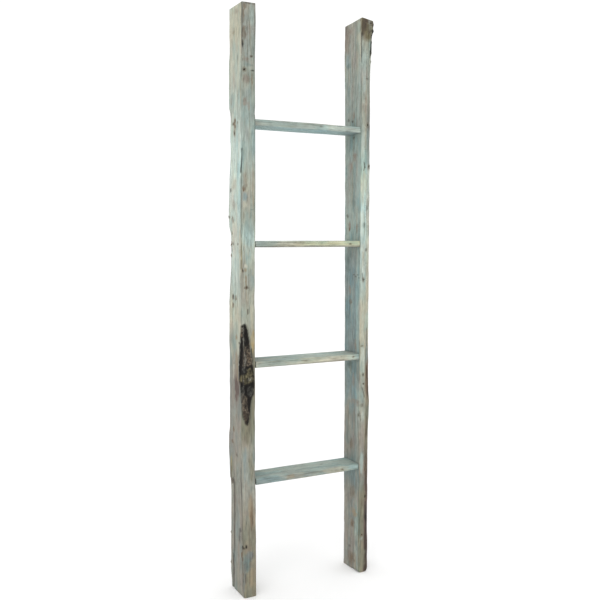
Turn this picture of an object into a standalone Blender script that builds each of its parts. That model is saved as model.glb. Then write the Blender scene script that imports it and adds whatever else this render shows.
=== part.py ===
"""A rustic quilt ladder: two live-edge rails with four board rungs screwed between them.

Frame: +Z up the rails, +X along the rungs to the right, +Y to the back, where the ladder
leans on a wall. The origin is on the floor at the centre of the bounding box. Metres.

Each rail is described by how far a point lies outward from the rail's inner face and how
far it lies back from the ladder's front plane, so both rails share one set of functions.
"""

import math

import bmesh
import bpy
from mathutils import Matrix, Vector

# ---- driving dimensions --------------------------------------------------------------
HEIGHT = 1.829          # rails, six feet
RAIL_THICK = 0.043      # one rail, from its inner face to its outer face
CLEAR_WIDTH = 0.375     # between the rails' inner faces
RUNG_THICK = 0.0195
RUNG_DEPTH = 0.088      # front to back, a dressed four inch board
RUNG_SETBACK = 0.003    # rung front edges behind the rails' front faces
RUNG_HEIGHTS = (1.479, 1.111, 0.738, 0.367)     # rung centres, top rung first
RUNG_EASE = 0.0015      # rounding along the rung's edges
FIT_GAP = 0.0003        # left between pieces that touch

# ---- live edges: (height, size) pairs, joined by smooth curves ------------------------
LEFT_DEPTH = (
    (0.00, 0.104), (0.03, 0.106), (0.06, 0.110), (0.15, 0.109), (0.20, 0.107), (0.335, 0.106),
    (0.35, 0.108), (0.365, 0.116), (0.43, 0.120), (0.47, 0.122), (0.49, 0.122), (0.53, 0.114),
    (0.56, 0.113), (0.90, 0.113), (0.92, 0.112), (0.95, 0.108), (1.00, 0.102), (1.04, 0.097),
    (1.12, 0.093), (1.14, 0.095), (1.17, 0.108), (1.20, 0.111), (1.29, 0.108), (1.31, 0.106),
    (1.335, 0.099), (1.39, 0.093), (1.41, 0.093), (1.44, 0.098), (1.46, 0.096), (1.50, 0.093),
    (1.515, 0.096), (1.53, 0.104), (1.60, 0.103), (1.66, 0.102), (1.70, 0.098), (HEIGHT, 0.098),
)
RIGHT_DEPTH = (
    (0.00, 0.097), (0.20, 0.098), (0.42, 0.0995), (0.60, 0.0985), (0.85, 0.0995), (1.10, 0.102),
    (1.36, 0.102), (1.56, 0.1055), (1.74, 0.109), (HEIGHT, 0.109),
)
LEFT_OUTER_WANE = (
    (0.00, 0.003), (0.04, 0.012), (0.10, 0.017), (0.30, 0.017), (0.38, 0.022), (0.50, 0.022),
    (0.62, 0.018), (0.96, 0.017), (1.16, 0.014), (1.33, 0.013), (1.38, 0.006), (1.42, 0.006),
    (1.45, 0.011), (1.60, 0.010), (1.66, 0.003), (HEIGHT, 0.002),
)
LEFT_INNER_WANE = (
    (0.00, 0.010), (0.30, 0.013), (0.42, 0.018), (0.60, 0.015), (1.05, 0.014),
    (1.14, 0.008), (1.30, 0.003), (HEIGHT, 0.003),
)
RIGHT_OUTER_WANE = (
    (0.00, 0.016), (0.25, 0.019), (0.42, 0.020), (0.57, 0.014), (0.72, 0.019), (0.95, 0.022),
    (1.66, 0.022), (1.70, 0.018), (1.74, 0.011), (1.775, 0.011), (1.80, 0.003), (HEIGHT, 0.003),
)
LEFT_OUTER_RATIO = 0.3  # a waney corner's width across the front, over its depth
LEFT_INNER_RATIO = 0.6
RIGHT_OUTER_RATIO = 1.5
WANE_STEPS = 4          # flats that round off a waney corner
EASE_STEPS = 2          # and a sawn one
EDGE_EASE = 0.002       # sawn corners
BACK_EASE = 0.002       # corners of the live back edges

# ---- the hollow where bark has fallen out of the left rail's front face ---------------
POCKET_HEIGHT = 0.698           # its centre above the floor
POCKET_HALF_LENGTH = 0.168
POCKET_OUTWARD = 0.038          # its centre from the inner face, near the outer corner
POCKET_HALF_WIDTH = 0.032
POCKET_DEPTH = 0.007

# ---- countersunk wood screws, two through a rail into each rung end --------------------
SCREW_LENGTH = 0.076
SCREW_HEAD_RADIUS = 0.0047
SCREW_SHANK_RADIUS = 0.0024
SCREW_ROOT_RADIUS = 0.0018
SCREW_HEAD_RIM = 0.0004
SCREW_HEAD_HEIGHT = 0.0030
SCREW_SHANK_END = 0.030         # where the plain shank gives way to the threaded part
SCREW_POINT_LENGTH = 0.008
SCREW_SINK = 0.0005             # head below the rail's outer face
SCREW_BACK_SPOTS = (0.039, 0.075)   # distances behind the ladder's front plane
DRIVER_SLOT = (0.0050, 0.0012, 0.0016)      # each arm of the cross: length, width, depth

RAIL_STATIONS = 94      # sections along a rail
ROUND_SIDES = 12

# ---- derived -------------------------------------------------------------------------
DEPTH = max(depth for _, depth in LEFT_DEPTH + RIGHT_DEPTH)
FRONT_Y = -DEPTH / 2
INNER_X = CLEAR_WIDTH / 2
RUNG_LENGTH = CLEAR_WIDTH - 2 * FIT_GAP
LEFT, RIGHT = -1, 1

WASHED_WOOD = (0.36, 0.44, 0.39)
WASHED_BOARD = (0.42, 0.47, 0.40)
WASHED_STEEL = (0.38, 0.42, 0.40)


def clear_scene():
    for obj in list(bpy.data.objects):
        bpy.data.objects.remove(obj)


def material(name, colour, roughness, metallic=0.0):
    made = bpy.data.materials.new(name)
    made.use_nodes = True
    shader = made.node_tree.nodes["Principled BSDF"]
    shader.inputs["Base Color"].default_value = (*colour, 1.0)
    shader.inputs["Roughness"].default_value = roughness
    shader.inputs["Metallic"].default_value = metallic
    return made


def add_object(name, mesh):
    obj = bpy.data.objects.new(name, mesh)
    bpy.context.scene.collection.objects.link(obj)
    return obj


def mesh_from(name, bm):
    """Turn a bmesh into a mesh with its faces pointing out."""
    bmesh.ops.recalc_face_normals(bm, faces=bm.faces)
    mesh = bpy.data.meshes.new(name)
    bm.to_mesh(mesh)
    bm.free()
    return mesh


def smooth_at(stations, height):
    """Read a (height, size) list at one height, easing from each station to the next."""
    for (low, low_size), (high, high_size) in zip(stations, stations[1:]):
        if height <= high:
            t = (height - low) / (high - low)
            return low_size + (high_size - low_size) * t * t * (3 - 2 * t)
    return stations[-1][1]


# ---- rails -----------------------------------------------------------------------------
def rounded_corner(width, depth, steps):
    """Points that round off a corner, side face first, as (along the front, back)."""
    angles = [math.pi / 2 * step / steps for step in range(steps + 1)]
    return [(width * (1 - math.cos(angle)), depth * (1 - math.sin(angle))) for angle in angles]


def pocket_recess(outward, height):
    """How far the bark pocket drops the left rail's front face."""
    along = (height - POCKET_HEIGHT) / POCKET_HALF_LENGTH
    across = (outward - POCKET_OUTWARD) / POCKET_HALF_WIDTH
    inside = max(0.0, 1 - along * along - across * across)
    return POCKET_DEPTH * math.sqrt(inside)


def rail_section(side, height):
    """Points around a rail at one height, as (outward from inner face, back from front)."""
    sawn = rounded_corner(EDGE_EASE, EDGE_EASE, EASE_STEPS)
    if side == LEFT:
        depth = smooth_at(LEFT_DEPTH, height)
        wane = smooth_at(LEFT_INNER_WANE, height)
        inner_front = rounded_corner(wane * LEFT_INNER_RATIO, wane, WANE_STEPS)
        outer_wane = smooth_at(LEFT_OUTER_WANE, height)
        outer_front = rounded_corner(outer_wane * LEFT_OUTER_RATIO, outer_wane, WANE_STEPS)
    else:
        depth = smooth_at(RIGHT_DEPTH, height)
        wane = smooth_at(RIGHT_OUTER_WANE, height)
        inner_front = sawn
        outer_front = rounded_corner(wane * RIGHT_OUTER_RATIO, wane, WANE_STEPS)

    start, end = inner_front[-1][0], RAIL_THICK - outer_front[-1][0]
    front = list(inner_front)
    front += [(start + (end - start) * share, 0) for share in (0.25, 0.5, 0.75)]
    front += [(RAIL_THICK - along, back) for along, back in reversed(outer_front)]
    if side == LEFT:
        front = [(out, back + pocket_recess(out, height)) for out, back in front]

    eased = rounded_corner(BACK_EASE, BACK_EASE, EASE_STEPS)
    outer_back = [(RAIL_THICK - along, depth - back) for along, back in eased]
    inner_back = [(along, depth - back) for along, back in reversed(eased)]
    return front + outer_back + inner_back


def rail_point(side, outward, back, height):
    return Vector((side * (INNER_X + outward), FRONT_Y + back, height))


def make_rail(name, side):
    """Loft the rail through its sections and close it with flat sawn ends."""
    bm = bmesh.new()
    rings = []
    for station in range(RAIL_STATIONS):
        height = HEIGHT * station / (RAIL_STATIONS - 1)
        rings.append([bm.verts.new(rail_point(side, out, back, height))
                      for out, back in rail_section(side, height)])
    for lower, upper in zip(rings, rings[1:]):
        for i in range(len(lower)):
            j = (i + 1) % len(lower)
            bm.faces.new((lower[i], lower[j], upper[j], upper[i]))
    bm.faces.new(rings[0])
    bm.faces.new(rings[-1])
    mesh = mesh_from(name, bm)
    mesh.shade_smooth()
    mesh.set_sharp_from_angle(angle=math.radians(40))
    return add_object(name, mesh)


# ---- rungs -----------------------------------------------------------------------------
def rung_mesh():
    bm = bmesh.new()
    size = Matrix.Diagonal((RUNG_LENGTH, RUNG_DEPTH, RUNG_THICK, 1))
    bmesh.ops.create_cube(bm, size=1, matrix=size)
    bmesh.ops.bevel(bm, geom=bm.edges[:], offset=RUNG_EASE, segments=2, profile=0.5,
                    affect="EDGES")
    return mesh_from("rung", bm)


# ---- screws ------------------------------------------------------------------------------
def turned(bm, profile, place=Matrix()):
    """Turn (distance along the axis, radius) points about X; the last one is the point."""
    rings = []
    for along, radius in profile[:-1]:
        ring = []
        for side in range(ROUND_SIDES):
            angle = 2 * math.pi * side / ROUND_SIDES
            spot = Vector((along, radius * math.cos(angle), radius * math.sin(angle)))
            ring.append(bm.verts.new(place @ spot))
        rings.append(ring)
    for ring, following in zip(rings, rings[1:]):
        for i in range(ROUND_SIDES):
            j = (i + 1) % ROUND_SIDES
            bm.faces.new((ring[i], ring[j], following[j], following[i]))
    point = bm.verts.new(place @ Vector((profile[-1][0], 0, 0)))
    for i in range(ROUND_SIDES):
        bm.faces.new((rings[-1][i], rings[-1][(i + 1) % ROUND_SIDES], point))
    bm.faces.new(rings[0])


def screw_profile(gap=0.0):
    """The screw's outline from head to point, grown by gap to give its hole."""
    mouth = -2 * SCREW_SINK if gap else 0.0
    return (
        (mouth, SCREW_HEAD_RADIUS + gap),
        (SCREW_HEAD_RIM, SCREW_HEAD_RADIUS + gap),
        (SCREW_HEAD_HEIGHT + gap, SCREW_SHANK_RADIUS + gap),
        (SCREW_SHANK_END, SCREW_SHANK_RADIUS + gap),
        (SCREW_SHANK_END + 2 * gap + 0.001, SCREW_ROOT_RADIUS + gap),
        (SCREW_LENGTH - SCREW_POINT_LENGTH + gap, SCREW_ROOT_RADIUS + gap),
        (SCREW_LENGTH + 3 * gap, 0.0),
    )


def screw_mesh():
    """One screw along +X, its head's top at the origin, with a cross cut in the head."""
    bm = bmesh.new()
    turned(bm, screw_profile())
    blank = add_object("screw_blank", mesh_from("screw_blank", bm))

    bm = bmesh.new()
    length, width, depth = DRIVER_SLOT
    half, arm = width / 2, length / 2
    outline = [(arm, -half), (arm, half), (half, half), (half, arm), (-half, arm), (-half, half),
               (-arm, half), (-arm, -half), (-half, -half), (-half, -arm), (half, -arm),
               (half, -half)]
    base = bm.faces.new([bm.verts.new((-depth, y, z)) for y, z in outline])
    grown = bmesh.ops.extrude_face_region(bm, geom=[base])
    top = [item for item in grown["geom"] if isinstance(item, bmesh.types.BMVert)]
    bmesh.ops.translate(bm, verts=top, vec=(2 * depth, 0, 0))
    cross = add_object("screw_cross", mesh_from("screw_cross", bm))

    cut_with(blank, cross)
    evaluated = blank.evaluated_get(bpy.context.evaluated_depsgraph_get())
    mesh = bpy.data.meshes.new_from_object(evaluated)
    mesh.name = "screw"
    mesh.shade_smooth()
    mesh.set_sharp_from_angle(angle=math.radians(35))
    bpy.data.objects.remove(blank)
    bpy.data.objects.remove(cross)
    return mesh


def screw_place(side, back, height):
    """Put a screw's head just under the rail's outer face, pointing at the rung."""
    head = rail_point(side, RAIL_THICK - SCREW_SINK, back, height)
    turn = Matrix.Rotation(math.pi if side == RIGHT else 0, 4, "Z")
    return Matrix.Translation(head) @ turn


def screw_spots():
    """Yield every screw's name and place."""
    for number, height in enumerate(RUNG_HEIGHTS, start=1):
        for side, side_name in ((LEFT, "left"), (RIGHT, "right")):
            for back, back_name in zip(SCREW_BACK_SPOTS, ("front", "back")):
                name = f"screw_{number}_{side_name}_{back_name}"
                yield name, screw_place(side, back, height)


def make_screw_holes():
    """One hidden cutter that holds the hole of every screw."""
    bm = bmesh.new()
    for _, place in screw_spots():
        turned(bm, screw_profile(FIT_GAP), place)
    cutter = add_object("screw_holes", mesh_from("screw_holes", bm))
    cutter.hide_render = True
    cutter.display_type = "WIRE"
    return cutter


def cut_with(obj, cutter):
    cut = obj.modifiers.new("holes", "BOOLEAN")
    cut.operation = "DIFFERENCE"
    cut.solver = "EXACT"
    cut.object = cutter


# ---- the whole ladder ------------------------------------------------------------------
def build():
    clear_scene()
    holes = make_screw_holes()

    for name, side in (("left_rail", LEFT), ("right_rail", RIGHT)):
        rail = make_rail(name, side)
        rail.data.materials.append(material(name, WASHED_WOOD, 0.75))
        cut_with(rail, holes)

    board = rung_mesh()
    for number, height in enumerate(RUNG_HEIGHTS, start=1):
        rung = add_object(f"rung_{number}", board.copy())
        rung.location = (0, FRONT_Y + RUNG_SETBACK + RUNG_DEPTH / 2, height)
        rung.data.materials.append(material(rung.name, WASHED_BOARD, 0.7))
        cut_with(rung, holes)

    screw = screw_mesh()
    for name, place in screw_spots():
        fixing = add_object(name, screw.copy())
        fixing.matrix_world = place
        fixing.data.materials.append(material(name, WASHED_STEEL, 0.6, metallic=0.3))


build()
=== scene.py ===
"""Looks of a rustic quilt ladder: live-edge rails and board rungs in a worn blue-green wash.

Each rail and rung is a dense grid of points, moved along its normals for grain, knots,
checks, bark and waney edges, and painted with a tint at every point. The materials add the
fine grain. The frame is the CAD's: +X along the rungs, +Y to the back, in metres. What is
marked on a board is in millimetres.
"""

import itertools
import math
from collections import namedtuple

import bpy
import numpy as np
from mathutils import Euler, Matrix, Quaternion, Vector


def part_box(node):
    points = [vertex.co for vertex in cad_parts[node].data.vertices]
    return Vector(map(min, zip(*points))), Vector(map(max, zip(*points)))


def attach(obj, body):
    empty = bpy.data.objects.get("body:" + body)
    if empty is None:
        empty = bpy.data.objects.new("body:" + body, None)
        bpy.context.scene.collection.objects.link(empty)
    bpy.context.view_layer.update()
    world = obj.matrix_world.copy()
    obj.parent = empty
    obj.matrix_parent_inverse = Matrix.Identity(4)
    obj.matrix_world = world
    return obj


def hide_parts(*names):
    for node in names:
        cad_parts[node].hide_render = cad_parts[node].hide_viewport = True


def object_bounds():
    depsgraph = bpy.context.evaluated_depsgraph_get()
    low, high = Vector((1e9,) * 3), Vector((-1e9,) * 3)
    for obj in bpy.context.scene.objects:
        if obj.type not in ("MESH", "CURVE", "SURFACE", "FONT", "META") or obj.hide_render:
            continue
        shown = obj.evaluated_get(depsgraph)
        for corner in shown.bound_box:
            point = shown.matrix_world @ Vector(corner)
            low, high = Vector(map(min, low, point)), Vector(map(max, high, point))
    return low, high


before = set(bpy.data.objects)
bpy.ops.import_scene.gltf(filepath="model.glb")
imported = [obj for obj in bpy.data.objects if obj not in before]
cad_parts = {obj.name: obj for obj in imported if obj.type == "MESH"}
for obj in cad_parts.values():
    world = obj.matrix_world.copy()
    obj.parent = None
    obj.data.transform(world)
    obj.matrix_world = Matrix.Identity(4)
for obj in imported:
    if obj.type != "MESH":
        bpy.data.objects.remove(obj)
cad_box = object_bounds()

# ---- sizes read from the CAD, in millimetres ----
MM = 0.001
RUNGS = ("rung_1", "rung_2", "rung_3", "rung_4")
SCREWS = [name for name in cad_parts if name.startswith("screw_")]


def box_mm(node):
    """A node's lowest and highest corners in millimetres."""
    return [np.array(corner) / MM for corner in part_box(node)]


HEIGHT = box_mm("left_rail")[1][2]
FRONT = cad_box[0].y / MM
RAIL_THICK = box_mm("left_rail")[1][0] - box_mm("left_rail")[0][0]
RUNG_HEIGHTS = [sum(corner[2] for corner in box_mm(rung)) / 2 for rung in RUNGS]
RUNG_THICK = box_mm("rung_1")[1][2] - box_mm("rung_1")[0][2]
RUNG_FRONT, RUNG_BACK = (corner[1] - FRONT for corner in box_mm("rung_1"))
SCREW_BACKS = sorted({round(sum(corner[1] for corner in box_mm(name)) / 2 - FRONT)
                      for name in SCREWS})

# ---- the grids ----
RAIL_STEP = 3.1         # between a rail's rings
RUNG_STEP = 2.3
FACE_STEP = 2.1         # between the columns across a face
REAR_STEP = 3.6         # and across a rail's back
HOLE_STEP = 0.9         # between points round a screw
HOLE_PATCH = 6.3        # half the width of that patch
SCREW_MARGIN = 9        # from the outer screws to the ordinary columns
HOLE_RADIUS = 4.9
HOLE_RIM = 0.5          # points this near the hole's edge are moved onto it
HOLE_WALL = 0.05        # how far in from its edge its floor starts
HOLE_DEPTH = 3.0
LEVEL_FROM, LEVEL_TO = 6, 16    # the face is levelled round a screw between these distances
SAWN_EDGE = 2.0         # radius of a sawn corner
BACK_EDGE = 2.0         # radius of the live back corners
CORNER_BLEND = 1.5      # half the width in which two faces' tints mix at a corner
REAR_TINT = (12, 40)    # a rail's rear tint starts and is full this far round its right side
BACK_TINT = (-6, -1)    # and this far from its back, measured backwards
END_EDGE = 0.9          # rounding at a board's ends
END_INSETS = (0.2, 0.55, 1.0, 2.2, 4, 6, 8, 10, 12, 14, 16, 18, 20)   # of the rings on an end
END_REACH = 0.97        # the last of them stops short of the middle
END_FADES = (5, 6, 30)  # how fast the tint evens out, the marks fade and the sawn wood starts
SAW_MARK = 0.25         # depth of the saw's marks on an end
JOINT_GAP = 0.15        # between a rung's end and its rail
JOINT_FROM, JOINT_TO = 4, 20    # a rail is levelled near a rung between these distances
JOINT_LEVEL = 0.85      # and by this share
JOINT_SHADE_LINE, JOINT_SHADE = 2.2, 0.18      # the line of painted shade on a rail round a rung
HOLE_SHADE, RIM_SHADE = 0.4, 0.2          # painted shade in a screw's hole, and on the rim round it

# ---- live edges: (height, size) pairs, joined by smooth curves, as in the CAD ----
LEFT_DEPTH = (
    (0, 104), (30, 106), (60, 110), (150, 109), (200, 107), (335, 106), (350, 108), (365, 116),
    (430, 120), (470, 122), (490, 122), (530, 114), (560, 113), (900, 113), (920, 112),
    (950, 108), (1000, 102), (1040, 97), (1120, 93), (1140, 95), (1170, 108), (1200, 111),
    (1290, 108), (1310, 106), (1335, 99), (1390, 93), (1410, 93), (1440, 98), (1460, 96),
    (1500, 93), (1515, 96), (1530, 104), (1600, 103), (1660, 102), (1700, 98), (HEIGHT, 98),
)
RIGHT_DEPTH = (
    (0, 97), (200, 98), (420, 99.5), (600, 98.5), (850, 99.5), (1100, 102), (1360, 102),
    (1560, 105.5), (1740, 109), (HEIGHT, 109),
)
# A waney corner: its size down the side by height, and its width across the front over that.
Wane = namedtuple("Wane", "sizes ratio")
LEFT_OUTER = Wane((
    (0, 3), (40, 12), (100, 17), (300, 17), (380, 22), (500, 22), (620, 18), (960, 17),
    (1160, 14), (1330, 13), (1380, 6), (1420, 6), (1450, 11), (1600, 10), (1660, 3), (HEIGHT, 2),
), 0.3)
LEFT_INNER = Wane((
    (0, 10), (300, 13), (420, 18), (600, 15), (1050, 14), (1140, 8), (1300, 3), (HEIGHT, 3),
), 0.6)
RIGHT_INNER = Wane(((0, SAWN_EDGE), (HEIGHT, SAWN_EDGE)), 1.0)
RIGHT_OUTER = Wane((
    (0, 16), (250, 19), (420, 20), (570, 14), (720, 19), (950, 22), (1660, 22), (1700, 18),
    (1740, 11), (1775, 11), (1800, 3), (HEIGHT, 3),
), 1.5)


# ---- tints ----
def tint(red, green, blue):
    """A tint given as a paint chart gives it, 0 to 255, in the linear values shaders use."""
    return np.array([((c / 255 + 0.055) / 1.055) ** 2.4 for c in (red, green, blue)])


CREAM = tint(184, 184, 168)
PALE_SAGE = tint(186, 192, 180)
AQUA = tint(190, 204, 195)
LIGHT_GREEN = tint(184, 196, 180)
MINT = tint(172, 183, 173)
STRAW = tint(180, 180, 162)
BUTTER = tint(186, 189, 160)
POOL = tint(151, 173, 171)
SAGE = tint(157, 161, 148)
TEAL = tint(157, 170, 162)
SEA = tint(147, 161, 154)
SMOKE = tint(146, 153, 145)
SLATE = tint(133, 147, 145)
BLUE_GREY = tint(110, 125, 121)
PEWTER = tint(120, 125, 121)
DRIFTWOOD = tint(149, 149, 138)
STONE = tint(139, 138, 129)
KHAKI = tint(132, 128, 111)
OLIVE = tint(125, 124, 106)
MUSTARD = tint(158, 146, 98)
OCHRE = tint(164, 144, 98)
TAN = tint(146, 133, 110)
ROSE = tint(138, 130, 119)
PLUM = tint(98, 85, 79)
RUST = tint(112, 97, 79)
UMBER = tint(76, 67, 57)
SOOT = tint(20, 17, 14)
BARK_GREY = tint(104, 95, 82)
BARK_TAN = tint(104, 98, 74)
LEAD = tint(84, 84, 78)
ASH = tint(106, 105, 96)

# ---- marks ----
# A stain is an ellipse of tint, a knot is a dark eye in a ring, a check is a split along the
# grain, a bump is a rise or, below zero, a hollow, and an edge line is a dark line down one
# of a rail's front corners. On a rail, "around" runs round the section from the front corner
# at its left: below zero back along the left-hand face, above zero across the front and then
# back along the right-hand face; "along" is the height. On a rung, "around" runs up the front
# and back over the top, and below zero back under it; "along" is the distance from the
# left-hand end. The tables hold rows of these fields.
Stain = namedtuple("Stain", "around along wide long tint strength", defaults=(0.85,))
Knot = namedtuple("Knot", "around along radius stretch dark")
Check = namedtuple("Check", "around low high width dark lean")
Bump = namedtuple("Bump", "around along wide long rise")
EdgeLine = namedtuple("EdgeLine", "low high width dark edge", defaults=("left_corner",))


# ---- noise ----
def lattice(cells, seed):
    """A repeatable number from -1 to 1 for each whole-number (x, y, z)."""
    mixed = (cells[..., 0] * 374761393 + cells[..., 1] * 668265263
             + cells[..., 2] * 1103515245 + seed * 1274126177) & 0xFFFFFFFF
    mixed = ((mixed ^ (mixed >> 13)) * 1274126177) & 0xFFFFFFFF
    mixed = mixed ^ (mixed >> 16)
    return mixed / 0x7FFFFFFF - 1


def noise(points, size, seed):
    """Smooth noise from -1 to 1 whose bumps have the given size along x, y and z."""
    spots = points / np.array(size)
    cells = np.floor(spots).astype(np.int64)
    share = spots - cells
    share = share ** 3 * (share * (share * 6 - 15) + 10)
    total = np.zeros(points.shape[:-1])
    for corner in itertools.product((0, 1), repeat=3):
        weight = np.prod(np.where(corner, share, 1 - share), axis=-1)
        total += weight * lattice(cells + np.array(corner), seed)
    return total


def ramp(value, low, high):
    """0 below low, 1 above high, with an eased rise between them."""
    share = np.clip((value - low) / (high - low), 0, 1)
    return share * share * (3 - 2 * share)


def within(value, rise, fall):
    """1 between two ramps, each a (start, end) pair, and 0 outside them."""
    return ramp(value, *rise) * (1 - ramp(value, *fall))


def stroke(distance, width):
    """1 on a line, fading to nothing about two widths away from it."""
    return np.exp(-(distance / width) ** 2)


def eased(stations, place):
    """Read a (place, value) list at many places, easing from each station to the next."""
    places = np.array([station[0] for station in stations], dtype=float)
    values = np.array([station[1] for station in stations], dtype=float)
    span = np.clip(np.searchsorted(places, place) - 1, 0, len(places) - 2)
    share = ramp(place, places[span], places[span + 1])
    if values.ndim > 1:
        share = share[..., None]
    return values[span] + (values[span + 1] - values[span]) * share


def blend(base, over, amount):
    """Move tints towards others by an amount from 0 to 1 at each point, or at all of them."""
    return base + (over - base) * np.clip(np.asarray(amount), 0, 1)[..., None]


# ---- a board's surface ----
STAIN_REACH = 1.2       # where a stain has faded out, in its half sizes
KNOT_RING = 1.4         # radius of the ring round a knot's eye, in the eye's
LAYERS = ("dark", "bark", "wear", "end")    # what is painted besides the tint


class Surface:
    """Rings of points along a board, each with its relief and what is painted on it.

    Columns of a ring run from the left-hand front corner across the front, back along the
    right-hand face, across the back and forward along the left-hand face. On a rung the
    left-hand face is the underside and the right-hand face is the top.
    """

    def __init__(self, section, along, origin, axis, seed):
        across, back, turn_across, turn_back, around = section
        self.axis = axis
        self.across_axis = 2 - axis
        self.seed = seed
        self.across = across
        self.back = back
        self.around = around
        self.along = np.repeat(along[:, None], across.shape[1], axis=1)
        self.spots = np.zeros(across.shape + (3,))
        self.normals = np.zeros(across.shape + (3,))
        for column, value, turn in ((self.across_axis, across, turn_across),
                                    (1, back, turn_back), (axis, self.along, None)):
            self.spots[..., column] = value + origin[column]
            if turn is not None:
                self.normals[..., column] = turn
        self.relief = np.zeros(across.shape)
        self.dark = np.zeros(across.shape)
        self.bark = np.zeros(across.shape)
        self.wear = np.full(across.shape, 0.5)
        self.tint = np.zeros(across.shape + (3,))

    def lay(self, tint, amount):
        """Move the tint towards another, or others, by an amount from 0 to 1."""
        self.tint = blend(self.tint, tint, amount)

    def darken(self, amount):
        self.dark = np.maximum(self.dark, amount)

    def noise(self, cross, along, seed, layers=1, where=None):
        """Noise whose bumps are this wide across the grain and this long down it."""
        spots = self.spots if where is None else self.spots[where]
        size = np.full(3, float(cross))
        size[self.axis] = along
        weights = [0.5 ** layer for layer in range(layers)]
        total = sum(weight * noise(spots, size * weight, self.seed + seed + 17 * layer)
                    for layer, weight in enumerate(weights))
        return total / sum(weights)

    def reach(self, mark, wide, long, rough):
        """Distance from a mark's centre in units of its half sizes, with a rough outline."""
        away = np.hypot((self.around - mark.around) / wide, (self.along - mark.along) / long)
        near = away < 4
        away[near] += rough * self.noise(max(0.7 * wide, 3), max(0.4 * long, 5), 31,
                                         layers=2, where=near)
        return away

    def add_stains(self, stains, solid=0.3):
        """Paint patches that fade from this share of their size, or are crisp if small."""
        for mark in stains:
            away = self.reach(mark, mark.wide, mark.long, rough=0.5)
            near = away < STAIN_REACH
            worn = 0.95 + 0.6 * self.noise(4, 24, 33, layers=2, where=near)
            fade_from = max(solid, 0.75 - 0.45 * ramp(mark.wide, 5, 13))
            share = mark.strength * worn * (1 - ramp(away[near], fade_from, STAIN_REACH))
            self.tint[near] = blend(self.tint[near], mark.tint, share)

    def add_knots(self, knots):
        for mark in knots:
            away = self.reach(mark, mark.radius, mark.radius * mark.stretch, rough=0.25)
            eye = 1 - ramp(away, 0.5, 1.05)
            ring = stroke(away - KNOT_RING, 0.3)
            waves = np.cos(away * 7) * np.exp(-away / 1.5) * (away < 5)
            self.lay(TAN, 0.5 * mark.dark * (1 - ramp(away, 1.0, 2.6)))
            self.darken(mark.dark * np.maximum(eye, 0.45 * ring))
            self.relief += mark.radius * (0.10 * waves - 0.20 * eye)

    def add_checks(self, checks):
        for mark in checks:
            share = (self.along - mark.low) / (mark.high - mark.low)
            line = mark.around + mark.lean * share + 1.2 * self.noise(30, 30, 41)
            near = (stroke(self.around - line, mark.width)
                    * within(share, (0.0, 0.15), (0.85, 1.0)))
            self.darken(mark.dark * near)
            self.relief -= 0.9 * mark.width * near

    def add_edge_lines(self, lines):
        for mark in lines:
            wander = mark.width * 0.6 * self.noise(30, 25, 43, layers=2)
            away = self.around - getattr(self, mark.edge) + wander
            share = (self.along - mark.low) / (mark.high - mark.low)
            patchy = 0.7 + 0.3 * self.noise(40, 22, 44, layers=2)
            near = stroke(away, mark.width) * within(share, (0.0, 0.1), (0.9, 1.0))
            self.darken(mark.dark * patchy * near)

    def add_bumps(self, bumps):
        for mark in bumps:
            away = self.reach(mark, mark.wide, mark.long, rough=0.2)
            self.relief += mark.rise * (1 - ramp(away, 0.0, 1.3))

    def add_marks(self, rows):
        """Add every kind of mark, from rows of their fields held by kind."""
        for kind, add in ((Stain, self.add_stains), (Knot, self.add_knots),
                          (Check, self.add_checks), (EdgeLine, self.add_edge_lines),
                          (Bump, self.add_bumps)):
            add([kind(*row) for row in rows.get(kind, ())])

    def finished(self):
        """The finished points and what is painted on them, ring by ring."""
        points = self.spots + self.normals * self.relief[..., None]
        not_end = np.zeros(self.dark.shape)
        paint = np.stack([self.dark, self.bark, self.wear, not_end], axis=-1)
        return points, np.concatenate([np.maximum(self.tint, 0), paint], axis=-1)


def put(name, data):
    """Add an object to the scene."""
    thing = bpy.data.objects.new(name, data)
    bpy.context.scene.collection.objects.link(thing)
    return thing


def spread(start, end, step):
    """Evenly spaced places between two edges, for each ring, without the edges."""
    count = max(1, round(float(np.mean(end - start)) / step))
    share = np.arange(1, count) / count
    return start[:, None] + (end - start)[:, None] * share


def clustered(low, high, step, centres):
    """Places from low to high, packed closely round each centre."""
    edges = [low] + [edge for centre in sorted(centres)
                     for edge in (centre - HOLE_PATCH, centre + HOLE_PATCH)] + [high]
    parts = []
    for i, (start, end) in enumerate(zip(edges, edges[1:])):
        count = max(1, round((end - start) / (HOLE_STEP if i % 2 else step)))
        parts.append(np.linspace(start, end, count, endpoint=False))
    return np.append(np.concatenate(parts), high)


def screw_columns(start, end):
    """Places down a rail's outer face, packed closely where its screws are."""
    fixed = clustered(SCREW_BACKS[0] - SCREW_MARGIN, SCREW_BACKS[-1] + SCREW_MARGIN, FACE_STEP,
                      SCREW_BACKS)
    rings = np.full(len(start), 1.0)
    return np.concatenate([spread(start, fixed[0] * rings, FACE_STEP), rings[:, None] * fixed,
                           spread(fixed[-1] * rings, end, FACE_STEP)], axis=1)


def quarter_ellipse(size, steps, start, end):
    """A quarter ellipse: (across, back) offsets from its centre, with their directions."""
    angles = start + (end - start) * np.arange(steps + 1) / steps
    across, back = np.cos(angles), np.sin(angles)
    wide, deep = size[0][:, None], size[1][:, None]
    length = np.hypot(across / wide, back / deep)
    return wide * across, deep * back, across / wide / length, back / deep / length


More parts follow.
